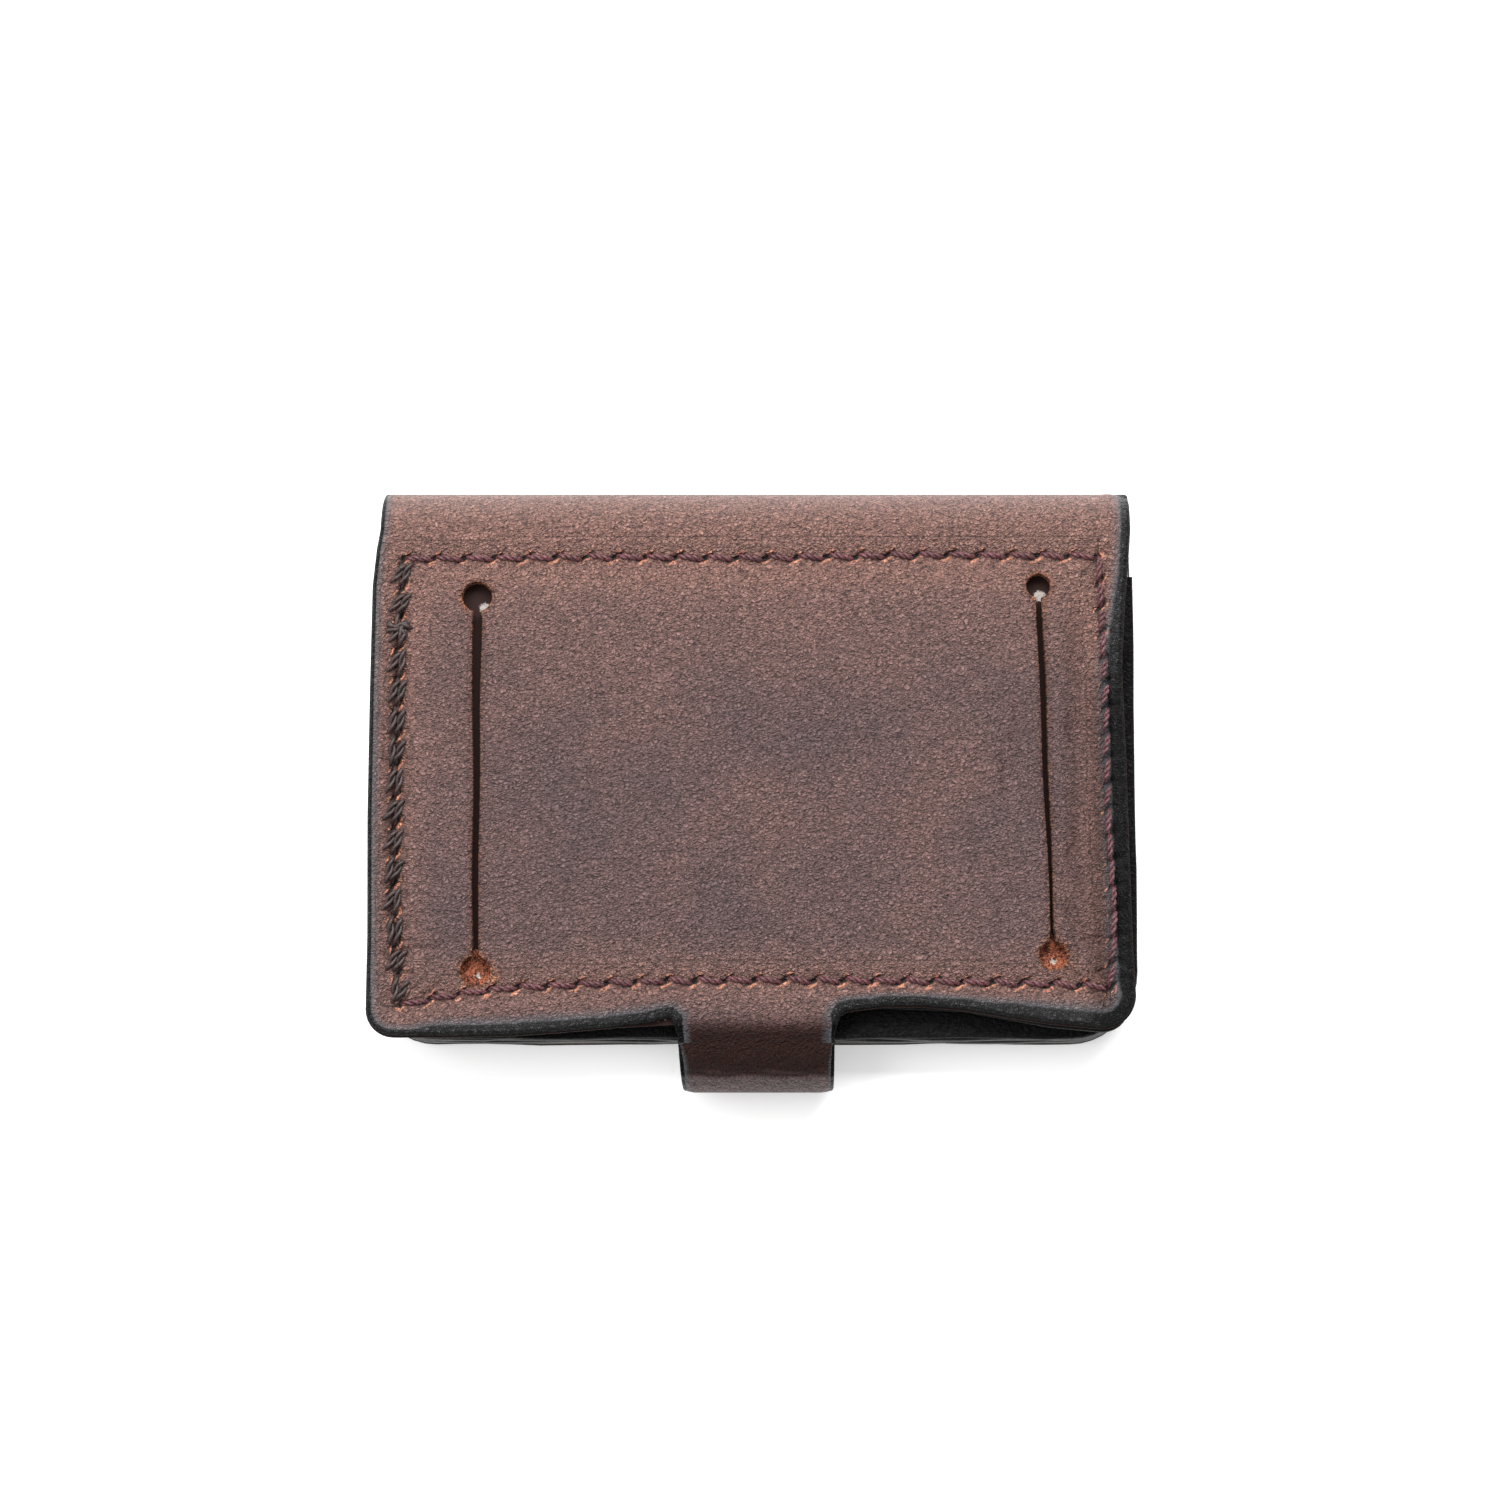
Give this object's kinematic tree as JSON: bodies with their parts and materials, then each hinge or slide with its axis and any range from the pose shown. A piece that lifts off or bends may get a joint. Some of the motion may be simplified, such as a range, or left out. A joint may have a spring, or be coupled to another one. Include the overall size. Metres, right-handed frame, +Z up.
{
  "type": "business card case",
  "caption": "Leather business card case with a hinged lid, outer card slits with punched ends, an inner card pocket and a closing tab.",
  "frame": {"origin": "on the underside of the base, half way across its width, 39.2 mm behind the mouth edge", "axes": "+X along the spine to the right, +Y from the mouth to the spine, +Z up through the lid"},
  "size_m": [0.11, 0.0871, 0.0133],
  "materials": {
    "outer_leather": "satin pebbled reddish dark brown",
    "inner_leather": "matt dark brown",
    "welt_leather": "burnished black edge",
    "lining": "silvery grey matt",
    "thread": "twisted waxed plum brown",
    "dark_thread": "twisted waxed near black",
    "magnet": "nickel plated"
  },
  "bodies": {
    "base": {"base_leather": "outer_leather", "base_lining": "lining", "welt_lower": "welt_leather", "welt_middle": "welt_leather", "welt_upper": "welt_leather", "pocket_panel": "inner_leather", "catch_magnet": "magnet", "base_thread": "thread", "pocket_thread": "thread"},
    "spine": {"spine_leather": "outer_leather"},
    "lid": {"lid_leather": "outer_leather", "lid_lining": "lining", "lid_slot_panel": "inner_leather", "lid_thread": "thread", "lid_thread_left": "dark_thread", "lid_thread_inner": "thread", "lid_thread_lining": "thread"},
    "tab": {"tab_leather": "outer_leather", "tab_backing": "inner_leather", "tab_magnet": "magnet"}
  },
  "joints": [
    {"name": "base_fold", "type": "hinge", "parent": "base", "child": "spine", "pos_m": [0, 0.0385, 0.0019], "axis": [-1, 0, 0], "range_deg": [0, 90]},
    {"name": "lid_fold", "type": "hinge", "parent": "spine", "child": "lid", "pos_m": [0, 0.0385, 0.0111], "axis": [-1, 0, 0], "range_deg": [0, 90]},
    {"name": "tab_bend", "type": "hinge", "parent": "lid", "child": "tab", "pos_m": [0.0009, -0.04573, 0.01011], "axis": [-1, 0, 0], "range_deg": [0, 50], "stiffness_Nm_per_rad": 0.002}
  ],
  "couplings": [
    {"joint": "base_fold", "follows": "lid_fold", "ratio": 1}
  ]
}
